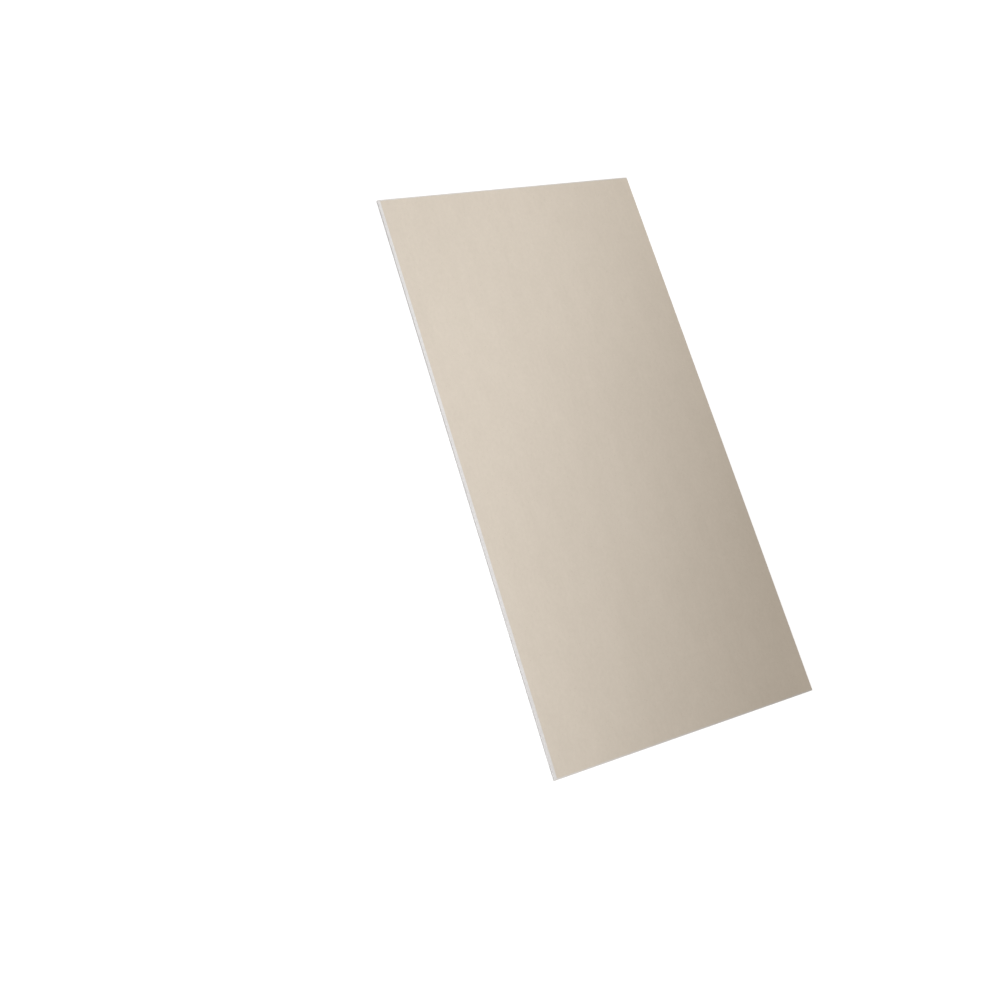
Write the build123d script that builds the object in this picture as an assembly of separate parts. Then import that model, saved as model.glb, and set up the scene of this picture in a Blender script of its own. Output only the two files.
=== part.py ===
"""Drywall sheet with tapered long edges, lying flat with its face up.

The sheet is a cast gypsum core between two paper liners. X is across the sheet, Y is along it and Z is up.
The origin is under the middle of the sheet, on the outer surface of the back paper.
Everything is one cross-section, the same all along the sheet, because the real one runs off a belt.
"""

import math
import os

from build123d import *

# Overall size, in millimetres
SHEET_LENGTH = 1800.0
SHEET_WIDTH = 900.0
SHEET_THICKNESS = 9.5

# Liners
FACE_PAPER = 0.35
BACK_PAPER = 0.30

# Taper of the face along each long edge, where the joints between sheets are filled
TAPER_WIDTH = 45.0
TAPER_DEPTH = 1.2
TAPER_EASE = 9.0  # length of the soft bend on each side of the line where the taper starts

# Outer radii of the face paper where it folds round a long edge
FACE_FOLD_RADIUS = 1.5
BACK_FOLD_RADIUS = 1.2

# On the back, both measured from the long edge
FLAP_WIDTH = 25.0  # how far the face paper reaches in under the back paper
BACK_PAPER_MARGIN = 8.0  # the strip of the flap that the back paper leaves bare


def wrapped_outline():
    """The cross-section inside the outer surface of the face paper, as if that paper closed all round."""
    edge = SHEET_WIDTH / 2
    crest = edge - TAPER_WIDTH
    shoulder = SHEET_THICKNESS - TAPER_DEPTH
    slope = math.atan2(TAPER_DEPTH, TAPER_WIDTH)
    crest_radius = TAPER_EASE / math.tan(slope / 2)
    corners = [
        (-edge, BACK_PAPER, BACK_FOLD_RADIUS),
        (edge, BACK_PAPER, BACK_FOLD_RADIUS),
        (edge, shoulder, FACE_FOLD_RADIUS),
        (crest, SHEET_THICKNESS, crest_radius),
        (-crest, SHEET_THICKNESS, crest_radius),
        (-edge, shoulder, FACE_FOLD_RADIUS),
    ]
    points = [(x, z) for x, z, radius in corners]
    radii = [radius for x, z, radius in corners]
    return make_face(FilletPolyline(*points, radius=radii, close=True))


def strip(width, bottom, top):
    """A flat strip centred on the sheet."""
    return Pos(0, (bottom + top) / 2) * Rectangle(width, top - bottom)


def along_sheet(section):
    """The piece that a cross-section makes when it runs the whole length of the sheet."""
    return extrude(Plane.XZ * section, amount=SHEET_LENGTH / 2, both=True)


wrapped = wrapped_outline()
inside_paper = offset(wrapped, -FACE_PAPER)
between_flaps = strip(SHEET_WIDTH - 2 * FLAP_WIDTH, BACK_PAPER, BACK_PAPER + FACE_PAPER)

pieces = {
    "gypsum_core": along_sheet(inside_paper + between_flaps),
    "face_paper": along_sheet(wrapped - inside_paper - between_flaps),
    "back_paper": along_sheet(strip(SHEET_WIDTH - 2 * BACK_PAPER_MARGIN, 0, BACK_PAPER)),
}

os.makedirs("parts", exist_ok=True)
for name, piece in pieces.items():
    export_step(piece, f"parts/{name}.step")
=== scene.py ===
import math

import bmesh
import bpy
from mathutils import Matrix, Vector


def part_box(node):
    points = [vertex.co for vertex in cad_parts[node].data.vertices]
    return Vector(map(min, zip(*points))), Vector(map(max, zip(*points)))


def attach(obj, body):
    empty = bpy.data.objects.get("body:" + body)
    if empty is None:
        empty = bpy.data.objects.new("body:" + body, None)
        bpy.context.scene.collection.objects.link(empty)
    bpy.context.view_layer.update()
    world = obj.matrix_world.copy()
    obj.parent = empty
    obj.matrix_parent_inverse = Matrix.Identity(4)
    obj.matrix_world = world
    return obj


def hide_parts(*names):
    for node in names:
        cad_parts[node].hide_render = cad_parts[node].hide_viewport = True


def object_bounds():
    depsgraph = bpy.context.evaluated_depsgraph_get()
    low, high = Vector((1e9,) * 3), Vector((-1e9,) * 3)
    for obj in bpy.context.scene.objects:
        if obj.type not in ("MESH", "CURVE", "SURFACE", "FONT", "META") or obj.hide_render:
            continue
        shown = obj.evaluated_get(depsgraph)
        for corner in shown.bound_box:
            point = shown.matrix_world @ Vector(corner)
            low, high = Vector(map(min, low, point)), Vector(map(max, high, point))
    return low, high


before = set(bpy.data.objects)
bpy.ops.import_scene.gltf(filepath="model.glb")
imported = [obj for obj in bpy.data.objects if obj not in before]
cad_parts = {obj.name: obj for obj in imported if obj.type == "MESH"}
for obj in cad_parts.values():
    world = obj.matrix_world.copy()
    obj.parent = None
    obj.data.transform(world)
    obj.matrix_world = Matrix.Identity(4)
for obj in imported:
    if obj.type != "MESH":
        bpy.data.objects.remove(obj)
cad_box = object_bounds()

scene = bpy.context.scene
scene.view_settings.view_transform = "Standard"

# The camera
# It looks down on the sheet as it lies, from beside its left long edge, and is rolled so that the sheet
# stands in the picture at the slant that it has when it leans.
eye = Vector((-1.475, -0.668, 2.640))
aim = Vector((-0.3565, -0.1034, 0.0095))
picture_up = Vector((0.2020, 0.9364, 0.2868))
lens_mm = 36.03
sensor_mm = 36.0

back = (eye - aim).normalized()
right = picture_up.cross(back).normalized()
up = back.cross(right)
bpy.ops.object.camera_add()
camera = bpy.context.object
camera.name = "photo_camera"
camera.matrix_world = Matrix.Translation(eye) @ Matrix((right, up, back)).transposed().to_4x4()
camera.data.lens = lens_mm
camera.data.sensor_width = sensor_mm
scene.camera = camera

# The light
# Two soft lamps hang high. The key lamp shines along the sheet's left side, and the far lamp shines away to
# the left, so the face darkens to the right. Two low ones on the right light the edges, and one under the
# floor lights the back. A pale, slightly warm room fills in from all round and shows white.
cool = (0.936, 0.971, 1.0)
plain = (0.985, 0.995, 1.0)
warm = (1.0, 0.955, 0.87)
sheet_middle = (0.0, 0.0, 0.0)
# Of each lamp: its place, the point that it shines at, its width, its watts and its tint
lamps = {
    "key_lamp": ((-1.89, -1.62, 1.99), (-2.03, 2.89, 0.0), 0.8, 79.0, cool),
    "far_lamp": ((0.56, 0.70, 1.98), (-8.89, 4.68, 0.0), 1.6, 34.8, cool),
    "edge_lamp": ((3.40, -2.60, 0.55), sheet_middle, 0.9, 60.0, warm),
    "end_lamp": ((2.40, 3.60, 0.55), sheet_middle, 0.9, 55.0, warm),
    "back_lamp": ((0.70, -1.00, -2.30), sheet_middle, 1.6, 36.0, plain),
}
room_tint = (1.0, 0.92, 0.81, 1.0)
room_level = 0.25
white = (1.0, 1.0, 1.0, 1.0)


def put(tree, kind, inputs, **settings):
    """Add a node to a material or the world, set it up and feed its inputs."""
    node = tree.nodes.new(kind)
    for name, value in settings.items():
        setattr(node, name, value)
    for name, value in inputs.items():
        if isinstance(value, bpy.types.NodeSocket):
            tree.links.new(value, node.inputs[name])
        else:
            node.inputs[name].default_value = value
    return node


def reckon(tree, operation, *values):
    """Work out a sum from numbers and from what other nodes give."""
    return put(tree, "ShaderNodeMath", dict(enumerate(values)), operation=operation).outputs[0]


def seen_directly(tree):
    """1 for what the camera, a gloss or clear glass sees, and 0 for light that falls on something."""
    path = put(tree, "ShaderNodeLightPath", {})
    seen = path.outputs["Is Camera Ray"]
    for ray in ("Is Glossy Ray", "Is Transmission Ray"):
        seen = reckon(tree, "MAXIMUM", seen, path.outputs[ray])
    return seen


for name, (stand, target, width, watts, tint) in lamps.items():
    bpy.ops.object.light_add(type="AREA", location=stand)
    light = bpy.context.object
    light.name = name
    light.data.shape = "DISK"
    light.data.size = width
    light.data.energy = watts
    light.data.color = tint
    light.rotation_euler = (Vector(stand) - Vector(target)).to_track_quat("Z", "Y").to_euler()
    light.visible_camera = False

world = bpy.data.worlds.new("studio")
scene.world = world
world.use_nodes = True
tree = world.node_tree
tree.nodes.clear()
room = put(tree, "ShaderNodeBackground", {"Color": room_tint, "Strength": room_level})
blank = put(tree, "ShaderNodeBackground", {"Color": white, "Strength": 1.0})
mix = put(tree, "ShaderNodeMixShader", {0: seen_directly(tree), 1: room.outputs[0], 2: blank.outputs[0]})
put(tree, "ShaderNodeOutputWorld", {"Surface": mix.outputs[0]})

# The floor
# A plain pale studio floor that the sheet lies on. It shows white and keeps the sheet's soft shadow. It is
# open under the sheet, and seen from below it isn't there, so that the back can be looked at.
floor_size = 40.0
floor_drop = 0.0002
open_gap = 0.001
bounce_tone = (0.80, 0.80, 0.80, 1.0)
shown_tone = (0.35, 0.35, 0.35, 1.0)
# The floor's own glow is weaker within the lamps' reach, and grows to the full where their light has gone
lamplit_reach = 1.2
unlit_from = 3.2
lamplit_glow = 0.865
unlit_glow = 0.99

sheet_low, sheet_high = cad_box
open_width = sheet_high.x - sheet_low.x + 2 * open_gap
open_length = sheet_high.y - sheet_low.y + 2 * open_gap


def ease(tree, value, start, stop, low=0.0, high=1.0):
    """A smooth step from low to high while the value goes from start to stop."""
    return put(
        tree, "ShaderNodeMapRange",
        {"Value": value, "From Min": start, "From Max": stop, "To Min": low, "To Max": high},
        interpolation_type="SMOOTHSTEP",
    ).outputs[0]


def between_colours(tree, factor, first, second):
    """Mix two colours."""
    return put(tree, "ShaderNodeMix", {0: factor, 6: first, 7: second}, data_type="RGBA").outputs[2]


bpy.ops.mesh.primitive_plane_add(size=1.0)
floor = bpy.context.object
floor.name = "studio_floor"
floor.scale = (open_width, open_length, 1.0)
floor.location = (0, 0, -floor_drop)
bpy.ops.object.transform_apply(location=True, rotation=True, scale=True)
bpy.ops.object.mode_set(mode="EDIT")
bpy.ops.mesh.select_all(action="SELECT")
bpy.ops.mesh.extrude_edges_move()
bpy.ops.transform.resize(value=(floor_size / open_width, floor_size / open_length, 1.0))
bpy.ops.mesh.select_mode(type="FACE")
bpy.ops.mesh.select_all(action="DESELECT")
mesh = bmesh.from_edit_mesh(floor.data)
opening = min(mesh.faces, key=lambda patch: patch.calc_area())
opening.select_set(True)
bmesh.update_edit_mesh(floor.data)
bpy.ops.mesh.delete(type="FACE")
bpy.ops.object.mode_set(mode="OBJECT")

material = bpy.data.materials.new("studio_floor")
material.use_nodes = True
tree = material.node_tree
tree.nodes.clear()
seen = seen_directly(tree)
place = put(tree, "ShaderNodeTexCoord", {}).outputs["Object"]
distance = put(tree, "ShaderNodeVectorMath", {0: place}, operation="LENGTH").outputs["Value"]
glow = ease(tree, distance, lamplit_reach, unlit_from, lamplit_glow, unlit_glow)
matte = put(tree, "ShaderNodeBsdfDiffuse", {"Color": between_colours(tree, seen, bounce_tone, shown_tone)})
lift = put(tree, "ShaderNodeEmission", {"Strength": reckon(tree, "MULTIPLY", seen, glow)})
both = put(tree, "ShaderNodeAddShader", {0: matte.outputs[0], 1: lift.outputs[0]})
camera_ray = put(tree, "ShaderNodeLightPath", {}).outputs["Is Camera Ray"]
from_below = put(tree, "ShaderNodeNewGeometry", {}).outputs["Backfacing"]
gone = reckon(tree, "MULTIPLY", camera_ray, from_below)
clear = put(tree, "ShaderNodeBsdfTransparent", {})
either = put(tree, "ShaderNodeMixShader", {0: gone, 1: both.outputs[0], 2: clear.outputs[0]})
put(tree, "ShaderNodeOutputMaterial", {"Surface": either.outputs[0]})
floor.data.materials.append(material)

# The face paper
# One web of beige liner board that the wet plaster is poured on. Near each long edge it runs down the taper,
# and there it is creased, turned round the edge and laid in over the back as a flap, all in one piece. Its
# borders are paler, more of it on the left, because the web lies a little off the middle.
face_low, face_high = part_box("face_paper")
half_width = face_high.x
half_length = face_high.y
sheet_top = face_high.z
flap_floor = face_low.z
liner = 0.00035
taper_width = 0.045
taper_depth = 0.0012
# How far the soft bend reaches on each side of the line where the taper starts
taper_ease = 0.009
face_fold = 0.0015
back_fold = 0.0012
flap_width = 0.025
crease_steps = 10
fibre_step = 0.0015
same_place = 1e-6
fray = 0.00016
fray_size = 0.0025
smooth_angle = math.radians(30)

face_dark = (0.641, 0.567, 0.483, 1.0)
face_light = (0.737, 0.656, 0.565, 1.0)
face_fleck = (0.47, 0.39, 0.30, 1.0)
face_fleck_share = 0.22
face_clouding = 1.0
face_tooth = 0.00003
pale_dark = (0.645, 0.622, 0.617, 1.0)
pale_light = (0.880, 0.855, 0.852, 1.0)
# How wide both pale borders would be on the face, had the web not wandered off the middle
pale_width = 0.0052
web_off_centre = 0.0040
pale_feather = 0.0020
pale_wobble = 0.0022
# Painted shade over the low part of the pale edge and its flap, full below the first height and gone above
# the second
painted_edge_shade = (0.612, 0.578, 0.563, 1.0)
edge_shade_full_below = 0.0055
edge_shade_gone_above = 0.0078
plaster_dust = (0.724, 0.695, 0.676, 1.0)
dust_width = 0.0055
dust_wobble = 0.006
inner_ply = (0.50, 0.44, 0.37, 1.0)
ply_feather = 0.00004
# Of each lay of coarse fibres: its turn, and the width and length of the spot that one fibre may lie in
strand_lays = ((0.15, 0.0042, 0.018), (-0.65, 0.0036, 0.014), (1.15, 0.0048, 0.012))
strand_strength = 0.45
strand_bends = 90.0
strand_sway = 0.006
paper_roughness = (0.90, 0.80)
paper_gloss = 0.25

slope = math.atan2(taper_depth, taper_width)
crest_radius = taper_ease / math.tan(slope / 2)
flat_half = half_width - taper_width - taper_ease
face_turn = math.pi / 2 - slope
face_tangent = face_fold * math.tan(face_turn / 2)
shoulder = sheet_top - taper_depth
sloped = math.hypot(taper_width, taper_depth) - taper_ease - face_tangent
taper_steps = round(sloped / fibre_step)
flap_steps = round((flap_width - back_fold) / fibre_step)


def pick_edges(piece, wanted):
    """In edit mode, select only the edges whose two ends both pass the test."""
    bpy.ops.mesh.select_mode(type="EDGE")
    bpy.ops.mesh.select_all(action="DESELECT")
    mesh = bmesh.from_edit_mesh(piece.data)
    for edge in mesh.edges:
        edge.select_set(all(wanted(corner.co) for corner in edge.verts))
    bmesh.update_edit_mesh(piece.data)


def run_on(across, rise):
    """Draw the picked border out in a straight line."""
    bpy.ops.mesh.extrude_region_move(TRANSFORM_OT_translate={"value": (across, 0, rise)})


def crease(centre_x, centre_z, turn):
    """Roll the picked border round a line that runs along the sheet."""
    bpy.ops.mesh.spin(steps=crease_steps, angle=-turn, center=(centre_x, 0, centre_z), axis=(0, 1, 0))


def close_up():
    """In edit mode, join the corners that lie in one place, and turn all faces outwards."""
    bpy.ops.mesh.select_all(action="SELECT")
    bpy.ops.mesh.remove_doubles(threshold=same_place)
    bpy.ops.mesh.normals_make_consistent(inside=False)


def fray_ends(piece):
    """Pull the paper's cut ends in by uneven fractions of a millimetre."""
    for end, side in (("near_end", 1), ("far_end", -1)):
        cut = [v.index for v in piece.data.vertices if v.co.y * side < -half_length + same_place]
        group = piece.vertex_groups.new(name=end)
        group.add(cut, 1.0, "REPLACE")
        torn = bpy.data.textures.new("torn_" + end, type="CLOUDS")
        torn.noise_scale = fray_size
        torn.noise_depth = 3
        pull = piece.modifiers.new("fray_" + end, "DISPLACE")
        pull.texture = torn
        pull.texture_coords = "LOCAL"
        pull.direction = "Y"
        pull.mid_level = 0.0
        pull.strength = side * fray
        pull.vertex_group = end
        bpy.ops.object.modifier_apply(modifier=pull.name)


def give_thickness(piece, depth):
    """Give the paper its thickness inwards, and round the shading over its creases only."""
    wall = piece.modifiers.new("thickness", "SOLIDIFY")
    wall.thickness = depth
    wall.offset = -1.0
    wall.use_even_offset = True
    bpy.ops.object.modifier_apply(modifier=wall.name)
    bpy.ops.object.shade_smooth_by_angle(angle=smooth_angle)


def blank_finish(piece, name):
    """Give a piece a new material. This returns its nodes and the places on the piece that they read."""
    material = bpy.data.materials.new(name)
    material.use_nodes = True
    piece.data.materials.append(material)
    place = put(material.node_tree, "ShaderNodeTexCoord", {}).outputs["Object"]
    return material.node_tree, place


def lay_finish(tree, colour, height, relief, tone, roughness, gloss):
    """Lay a colour on, a relief this many metres deep, and a roughness that goes with the tone."""
    shader = tree.nodes["Principled BSDF"]
    bump = put(tree, "ShaderNodeBump", {"Height": height, "Strength": 1.0, "Distance": relief})
    tree.links.new(colour, shader.inputs["Base Color"])
    tree.links.new(bump.outputs[0], shader.inputs["Normal"])
    rough = ease(tree, tone, 0.2, 0.8, *roughness)
    tree.links.new(rough, shader.inputs["Roughness"])
    shader.inputs["Specular IOR Level"].default_value = gloss


def along_axis(tree, place, axis):
    """How far a point is along one axis."""
    return put(tree, "ShaderNodeSeparateXYZ", {"Vector": place}).outputs[axis]


def patches(tree, place, width, length, detail):
    """Soft noise, in patches about this wide across the web and this long the way that it ran."""
    spread = put(tree, "ShaderNodeMapping", {"Vector": place, "Scale": (1 / width, 1 / length, 1 / width)})
    noise = {"Vector": spread.outputs[0], "Scale": 1.0, "Detail": detail, "Roughness": 0.55}
    return put(tree, "ShaderNodeTexNoise", noise).outputs["Fac"]


def blend_of(tree, parts):
    """Add up noises, each with its weight, round a middle of one half."""
    total = 0.5 - 0.5 * sum(weight for noise, weight in parts)
    for noise, weight in parts:
        total = reckon(tree, "MULTIPLY_ADD", noise, weight, total)
    return total


def matted_pulp(tree, place, clouding):
    """The tone and height of liner board: matted fibres, cloudy, and streaked the way that the web ran."""
    drift = patches(tree, place, width=0.26, length=0.55, detail=2.0)
    streak = patches(tree, place, width=0.035, length=0.60, detail=2.0)
    cloud = patches(tree, place, width=0.040, length=0.065, detail=2.0)
    floc = patches(tree, place, width=0.009, length=0.014, detail=3.0)
    fibre = patches(tree, place, width=0.0007, length=0.0030, detail=3.0)
    soft = [(drift, 0.36), (streak, 0.20), (cloud, 0.34), (floc, 0.60)]
    tone = blend_of(tree, [(noise, weight * clouding) for noise, weight in soft] + [(fibre, 0.60)])
    height = blend_of(tree, [(fibre, 0.8), (floc, 0.5)])
    return tone, height


def strands(tree, place, turn, width, length, share):
    """Coarse fibres in the pulp, all turned one way. The share is how many of the spots for one hold one."""
    bend = put(tree, "ShaderNodeTexNoise", {"Vector": place, "Scale": strand_bends, "Detail": 1.0})
    sway = {0: bend.outputs["Color"], 1: (strand_sway, strand_sway, 0.0), 2: place}
    swayed = put(tree, "ShaderNodeVectorMath", sway, operation="MULTIPLY_ADD").outputs[0]
    lay = {"Vector": swayed, "Rotation": (0, 0, turn), "Scale": (width, length, width)}
    spread = put(tree, "ShaderNodeMapping", lay, vector_type="TEXTURE").outputs[0]
    spots = put(tree, "ShaderNodeTexVoronoi", {"Vector": spread, "Scale": 1.0})
    strand = ease(tree, spots.outputs["Distance"], start=0.06, stop=0.14, low=1.0, high=0.0)
    draw = put(tree, "ShaderNodeSeparateColor", {"Color": spots.outputs["Color"]}).outputs["Red"]
    return reckon(tree, "MULTIPLY", strand, reckon(tree, "LESS_THAN", draw, share))


def pulp_colour(tree, place, tone, dark, light, fleck, fleck_share):
    """The colour of liner board, between its darkest and lightest pulp, with coarse fibres lying in it."""
    colour = between_colours(tree, tone, dark, light)
    for turn, width, length in strand_lays:
        lying = strands(tree, place, turn, width, length, fleck_share)
        colour = between_colours(tree, reckon(tree, "MULTIPLY", lying, strand_strength), colour, fleck)
    return colour


def offset_from_middle(tree, place, axis, middle, wobble):
    """How far a point is from a line down the middle, wavering and feathered, so that no border is ruled."""
    side = reckon(tree, "ABSOLUTE", reckon(tree, "SUBTRACT", along_axis(tree, place, axis), middle))
    wave = patches(tree, place, width=0.006, length=0.016, detail=2.0)
    feather = patches(tree, place, width=0.0008, length=0.0030, detail=3.0)
    return reckon(tree, "MULTIPLY_ADD", blend_of(tree, [(wave, 0.5), (feather, 0.7)]), wobble, side)


def dust_over(tree, place, colour):
    """Plaster dust that clings to the paper beside the cuts, thick at the cut and in specks further in."""
    reach = offset_from_middle(tree, place, "Y", 0.0, dust_wobble)
    inner = half_length - dust_width
    outer = half_length + 0.8 * dust_width
    nearness = ease(tree, reach, inner, outer, low=-0.45, high=0.65)
    grains = patches(tree, place, width=0.0009, length=0.0009, detail=3.0)
    drifts = patches(tree, place, width=0.007, length=0.004, detail=2.0)
    clots = blend_of(tree, [(grains, 0.9), (drifts, 0.6)])
    amount = ease(tree, reckon(tree, "ADD", clots, nearness), start=0.40, stop=0.80)
    return between_colours(tree, amount, colour, plaster_dust)


def cut_plies(tree, place, colour):
    """The grey inner plies of the board, which show where its ends are cut."""
    along = reckon(tree, "ABSOLUTE", along_axis(tree, place, "Y"))
    bare = ease(tree, along, half_length - fray - ply_feather, half_length - fray)
    return between_colours(tree, bare, colour, inner_ply)


def pale_border(tree, place, tone):
    """The chalky pale paper of the borders, with shade painted grey in streaks low on the edge and on the
    flap.
    """
    chalk = patches(tree, place, width=0.0040, length=0.0065, detail=3.0)
    chalky = blend_of(tree, [(tone, 0.8), (chalk, 1.0)])
    # Painted shade, in streaks, on the low part of the edge where it turns under towards the floor
    edge_shade_mask = ease(tree, along_axis(tree, place, "Z"), edge_shade_full_below, edge_shade_gone_above, low=1.0, high=0.0)
    streaks = patches(tree, place, width=0.0014, length=0.050, detail=3.0)
    shade_streaks = ease(tree, streaks, start=0.35, stop=0.65, low=0.4, high=1.0)
    pale = between_colours(tree, chalky, pale_dark, pale_light)
    return between_colours(tree, reckon(tree, "MULTIPLY", edge_shade_mask, shade_streaks), pale, painted_edge_shade)


bpy.ops.object.select_all(action="DESELECT")
bpy.ops.mesh.primitive_grid_add(x_subdivisions=round(flat_half / fibre_step), y_subdivisions=1, size=1.0)
face = bpy.context.object
face.name = "face_liner"
face.scale = (flat_half, 2 * half_length, 1.0)
face.location = (flat_half / 2, 0, sheet_top)
bpy.ops.object.transform_apply(location=True, rotation=True, scale=True)
bpy.ops.object.mode_set(mode="EDIT")
pick_edges(face, lambda at: at.x > flat_half - same_place)
crease(flat_half, sheet_top - crest_radius, slope)
for step in range(taper_steps):
    run_on(sloped / taper_steps * math.cos(slope), -sloped / taper_steps * math.sin(slope))
crease(half_width - face_fold, shoulder - face_tangent, face_turn)
run_on(0, -(shoulder - face_tangent - flap_floor - back_fold))
crease(half_width - back_fold, flap_floor + back_fold, math.pi / 2)
for step in range(flap_steps):
    run_on(-(flap_width - back_fold) / flap_steps, 0)
bpy.ops.object.mode_set(mode="OBJECT")
twin = face.modifiers.new("other_side", "MIRROR")
twin.use_axis = (True, False, False)
twin.merge_threshold = same_place
bpy.ops.object.modifier_apply(modifier=twin.name)
bpy.ops.object.mode_set(mode="EDIT")
close_up()
bpy.ops.object.mode_set(mode="OBJECT")
fray_ends(face)
give_thickness(face, liner)

tree, place = blank_finish(face, "face_liner")
tone, height = matted_pulp(tree, place, face_clouding)
colour = pulp_colour(tree, place, tone, face_dark, face_light, face_fleck, face_fleck_share)
across = offset_from_middle(tree, place, "X", web_off_centre, pale_wobble)
border = half_width - pale_width
pale = ease(tree, across, border, border + pale_feather)
colour = between_colours(tree, pale, colour, pale_border(tree, place, tone))
colour = cut_plies(tree, place, dust_over(tree, place, colour))
lay_finish(tree, colour, height, face_tooth, tone, paper_roughness, paper_gloss)
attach(face, "root")
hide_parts("face_paper")

# The gypsum core
# Foamed plaster that was poured between the two papers and set there, so it has the shape of their insides.
# It is bare only at the two ends, where a knife cut the sheet from the running belt: that face is rough, with
# the foam's bubbles open in it, and it lies a hair deeper than the ends of the papers.
crumb = 0.00045
end_gap = 0.00012
crest_cuts = 3
fold_cuts = 6
grain_size = 0.0032
grain_depth = 0.00024
bubble_size = 0.0026
bubble_floor = 0.12
bubble_rim = 0.30
bubble_depth = 0.00040
cut_smooth_angle = math.radians(40)

plaster_dark = (0.81, 0.80, 0.78, 1.0)
plaster_light = (0.90, 0.89, 0.87, 1.0)
# Shade painted into the open pores of the plaster, darkest towards the middle of each pore
pore_shade = (0.62, 0.60, 0.57, 1.0)
# The scores that the knife drew, as noise with this many waves to the metre
score_slant = 0.35
score_waves = (2200.0, 60.0, 90.0)
# Of the small and the large pores: how far apart they are, their reach in that measure and how dark the shade
# painted in them is
pores = ((0.0008, 0.26, 0.55), (0.0021, 0.22, 0.75))
pore_bottom = 0.6
pore_sink = -1.4
plaster_tooth = 0.00012
plaster_roughness = (0.97, 0.88)
plaster_gloss = 0.2

core_half = half_width - liner
core_floor = flap_floor + liner
core_top = sheet_top - liner
flap_line = half_width - flap_width
core_length = 2 * (half_length - end_gap)


def shave(centre_x, centre_z, radius, angle):
    """Cut both long edges off flat, along a line that touches a circle at this angle from upright."""
    for side in (-1, 1):
        outwards = Vector((side * math.sin(angle), 0, math.cos(angle)))
        touching = Vector((side * centre_x, 0, centre_z)) + outwards * radius
        bpy.ops.mesh.select_all(action="SELECT")
        bpy.ops.mesh.bisect(plane_co=touching, plane_no=outwards, clear_outer=True)


def pit(piece, name, pattern, depth):
    """Sink the cut faces by a pattern, never outwards."""
    sink = piece.modifiers.new(name, "DISPLACE")
    sink.texture = pattern
    sink.texture_coords = "LOCAL"
    sink.direction = "NORMAL"
    sink.mid_level = 0.0
    sink.strength = -depth
    sink.vertex_group = "cut_faces"
    bpy.ops.object.modifier_apply(modifier=sink.name)


bpy.ops.object.select_all(action="DESELECT")
crumbs_across = round(2 * core_half / crumb)
crumbs_high = round((core_top - core_floor) / crumb)
bpy.ops.mesh.primitive_grid_add(x_subdivisions=crumbs_across, y_subdivisions=crumbs_high, size=1.0)
core = bpy.context.object
core.name = "gypsum_casting"
core.scale = (2 * core_half, core_top - core_floor, 1.0)
core.rotation_euler = (math.pi / 2, 0, 0)
core.location = (0, -core_length / 2, (core_floor + core_top) / 2)
bpy.ops.object.transform_apply(location=True, rotation=True, scale=True)
bpy.ops.object.mode_set(mode="EDIT")
for side in (-1, 1):
    bpy.ops.mesh.select_all(action="SELECT")
    bpy.ops.mesh.bisect(plane_co=(side * flap_line, 0, 0), plane_no=(1, 0, 0))
pick_edges(core, lambda at: at.z < core_floor + same_place and abs(at.x) < flap_line + same_place)
run_on(0, -liner)
for cut in range(1, crest_cuts + 1):
    shave(flat_half, sheet_top - crest_radius, crest_radius - liner, slope * cut / crest_cuts)
for cut in range(1, fold_cuts + 1):
    angle = slope + face_turn * cut / fold_cuts
    shave(half_width - face_fold, shoulder - face_tangent, face_fold - liner, angle)
for cut in range(1, fold_cuts):
    angle = math.pi / 2 * (1 + cut / fold_cuts)
    shave(half_width - back_fold, flap_floor + back_fold, back_fold - liner, angle)
bpy.ops.mesh.select_all(action="SELECT")
bpy.ops.mesh.extrude_region_move(TRANSFORM_OT_translate={"value": (0, core_length, 0)})
close_up()
bpy.ops.object.mode_set(mode="OBJECT")

walls = set()
for wall in core.data.polygons:
    if abs(wall.normal.y) < 0.5:
        walls.update(wall.vertices)
cut_faces = core.vertex_groups.new(name="cut_faces")
cut_faces.add([v.index for v in core.data.vertices if v.index not in walls], 1.0, "REPLACE")
grain = bpy.data.textures.new("plaster_grain", type="CLOUDS")
grain.noise_scale = grain_size
grain.noise_depth = 4
pit(core, "grain", grain, grain_depth)
bubbles = bpy.data.textures.new("plaster_bubbles", type="VORONOI")
bubbles.noise_scale = bubble_size
bubbles.use_color_ramp = True
bubbles.color_ramp.elements[0].position = bubble_floor
bubbles.color_ramp.elements[0].color = (1.0, 1.0, 1.0, 1.0)
bubbles.color_ramp.elements[1].position = bubble_rim
bubbles.color_ramp.elements[1].color = (0.0, 0.0, 0.0, 1.0)
pit(core, "bubbles", bubbles, bubble_depth)
bpy.ops.object.shade_smooth_by_angle(angle=cut_smooth_angle)

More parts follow.
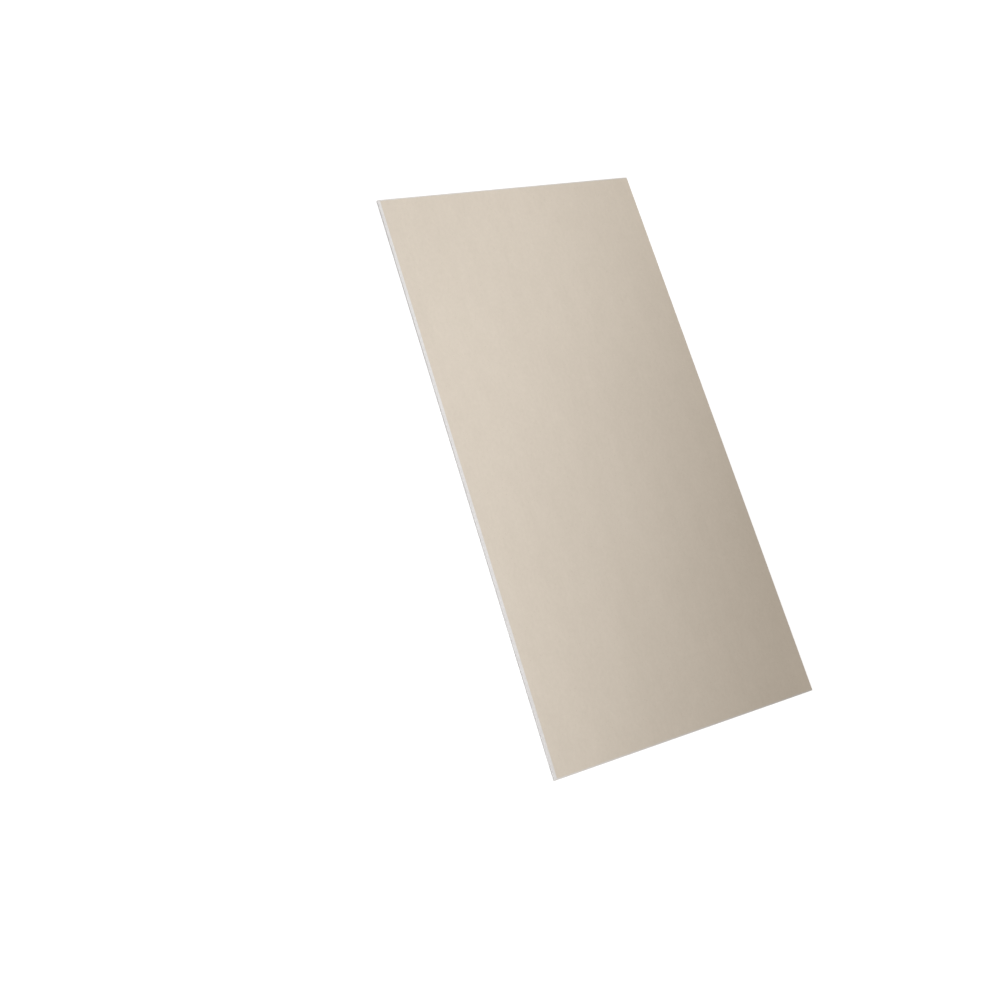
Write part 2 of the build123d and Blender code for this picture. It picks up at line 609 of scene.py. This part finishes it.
tree, place = blank_finish(core, "gypsum")
swirl = patches(tree, place, width=0.030, length=0.030, detail=3.0)
crumbs = patches(tree, place, width=0.0012, length=0.0012, detail=4.0)
knife = {"Vector": place, "Rotation": (0, score_slant, 0), "Scale": score_waves}
scored = put(tree, "ShaderNodeMapping", knife).outputs[0]
scores = put(tree, "ShaderNodeTexNoise", {"Vector": scored, "Scale": 1.0, "Detail": 2.0}).outputs["Fac"]
tone = blend_of(tree, [(swirl, 0.5), (crumbs, 0.7), (scores, 0.35)])
colour = between_colours(tree, tone, plaster_dark, plaster_light)
height = crumbs
for spacing, reach, darkness in pores:
    spots = put(tree, "ShaderNodeTexVoronoi", {"Vector": place, "Scale": 1 / spacing, "Randomness": 1.0})
    hole = ease(tree, spots.outputs["Distance"], pore_bottom * reach, reach, low=darkness, high=0.0)
    colour = between_colours(tree, hole, colour, pore_shade)
    height = reckon(tree, "MULTIPLY_ADD", hole, pore_sink, height)
lay_finish(tree, colour, height, plaster_tooth, tone, plaster_roughness, plaster_gloss)
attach(core, "root")
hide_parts("gypsum_core")

# The back paper
# The second web, of rougher recycled liner board. It is laid flat on the wet plaster and over the two flaps,
# stops a little short of both long edges, and is cut with the sheet at both ends.
back_low, back_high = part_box("back_paper")
back_half = back_high.x
back_dark = (0.560, 0.485, 0.400, 1.0)
back_light = (0.680, 0.610, 0.525, 1.0)
back_fleck = (0.33, 0.27, 0.21, 1.0)
back_fleck_share = 0.7
back_clouding = 1.3
back_tooth = 0.00005

bpy.ops.object.select_all(action="DESELECT")
bpy.ops.mesh.primitive_grid_add(x_subdivisions=round(2 * back_half / fibre_step), y_subdivisions=1, size=1.0)
backing = bpy.context.object
backing.name = "back_liner"
backing.scale = (2 * back_half, 2 * half_length, 1.0)
backing.rotation_euler = (math.pi, 0, 0)
bpy.ops.object.transform_apply(location=True, rotation=True, scale=True)
fray_ends(backing)
give_thickness(backing, back_high.z - back_low.z)

tree, place = blank_finish(backing, "back_liner")
tone, height = matted_pulp(tree, place, back_clouding)
colour = pulp_colour(tree, place, tone, back_dark, back_light, back_fleck, back_fleck_share)
colour = cut_plies(tree, place, dust_over(tree, place, colour))
lay_finish(tree, colour, height, back_tooth, tone, paper_roughness, paper_gloss)
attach(backing, "root")
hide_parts("back_paper")
